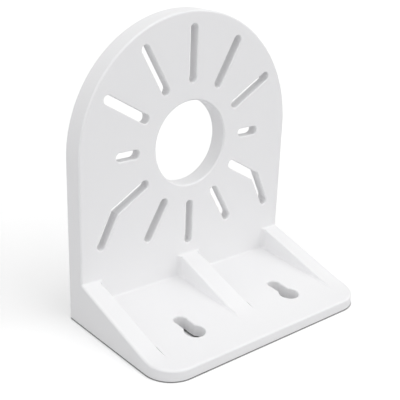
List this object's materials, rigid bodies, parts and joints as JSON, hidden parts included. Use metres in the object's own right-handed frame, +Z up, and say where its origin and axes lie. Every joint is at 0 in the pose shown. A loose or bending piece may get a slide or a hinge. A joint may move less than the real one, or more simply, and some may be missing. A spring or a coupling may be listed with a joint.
{
  "type": "camera bracket",
  "caption": "Moulded camera bracket: an upright plate with an arched top, a large cable hole and radial screw slots, on a ribbed base with keyholes.",
  "frame": {"origin": "middle of the footprint, on the plane that the base stands on", "axes": "+X across the plate to the right as seen from the front, +Y from the base's front edge towards the plate's back, +Z up towards the arched top"},
  "size_m": [0.12, 0.071, 0.1355],
  "materials": {
    "white_plastic": "fine satin moulded surface"
  },
  "bodies": {
    "root": {"bracket": "white_plastic"}
  },
  "joints": []
}
